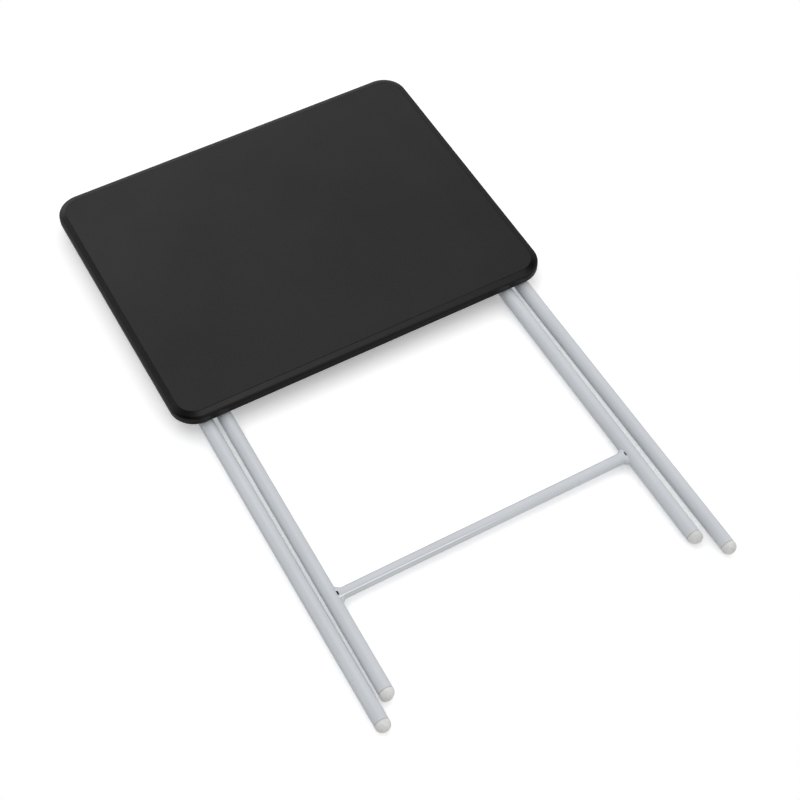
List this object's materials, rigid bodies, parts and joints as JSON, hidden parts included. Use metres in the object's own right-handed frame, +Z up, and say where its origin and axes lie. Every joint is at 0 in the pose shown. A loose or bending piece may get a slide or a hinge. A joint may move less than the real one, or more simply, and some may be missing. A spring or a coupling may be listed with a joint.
{
  "type": "folding tray table",
  "caption": "Folding tray table with a flat rounded board on two crossing tubular leg frames, modelled folded flat; the frames swing out and latch under the board.",
  "frame": {"origin": "centre of the folded table's bounding box in plan, at the height of the surface it lies on", "axes": "+X along the board's long side, +Y from the feet towards the hinge side of the board, +Z up through the board's top"},
  "size_m": [0.4824, 0.8062, 0.0351],
  "materials": {
    "board": "fibreboard wrapped in a matte black film",
    "facing": "matte black film, very fine grain",
    "frame_paint": "satin light grey powder coat",
    "foot_plastic": "pale translucent plastic",
    "nylon_black": "moulded black nylon",
    "nylon_natural": "moulded natural nylon",
    "fastener_steel": "zinc plated"
  },
  "bodies": {
    "tabletop": {"board_core": "board", "top_facing": "facing", "hinge_strap_left": "nylon_black", "hinge_strap_right": "nylon_black", "hinge_strap_screw_1": "fastener_steel", "hinge_strap_screw_2": "fastener_steel", "hinge_strap_screw_3": "fastener_steel", "hinge_strap_screw_4": "fastener_steel", "latch_hook_left": "nylon_black", "latch_hook_right": "nylon_black", "latch_screw_1": "fastener_steel", "latch_screw_2": "fastener_steel", "latch_screw_3": "fastener_steel", "latch_screw_4": "fastener_steel"},
    "outer_frame": {"outer_frame_tube": "frame_paint", "outer_foot_cap_left": "foot_plastic", "outer_foot_cap_right": "foot_plastic", "pivot_rivet_outer_left": "fastener_steel", "pivot_rivet_outer_right": "fastener_steel", "pivot_spacer_left": "nylon_natural", "pivot_spacer_right": "nylon_natural"},
    "glides": {"glide_shoe_left": "nylon_natural", "glide_shoe_right": "nylon_natural"},
    "inner_frame": {"inner_frame_tube": "frame_paint", "lower_crossbar": "frame_paint", "inner_foot_cap_left": "foot_plastic", "inner_foot_cap_right": "foot_plastic", "pivot_rivet_inner_left": "fastener_steel", "pivot_rivet_inner_right": "fastener_steel"}
  },
  "joints": [
    {"name": "top_hinge", "type": "hinge", "parent": "tabletop", "child": "outer_frame", "pos_m": [0, 0.3513, 0.0113], "axis": [1, 0, 0], "range_deg": [0, 57.39]},
    {"name": "glide_slide", "type": "slide", "parent": "tabletop", "child": "glides", "axis": [0, -1, 0], "range_m": [0, 0.27456]},
    {"name": "inner_turn", "type": "hinge", "parent": "glides", "child": "inner_frame", "pos_m": [0, 0.33097, 0.0113], "axis": [1, 0, 0], "range_deg": [0, 115.75]}
  ],
  "couplings": [
    {"joint": "glide_slide", "follows": "top_hinge", "m_per_rad": 0.2738},
    {"joint": "inner_turn", "follows": "top_hinge", "ratio": 2.0158}
  ]
}
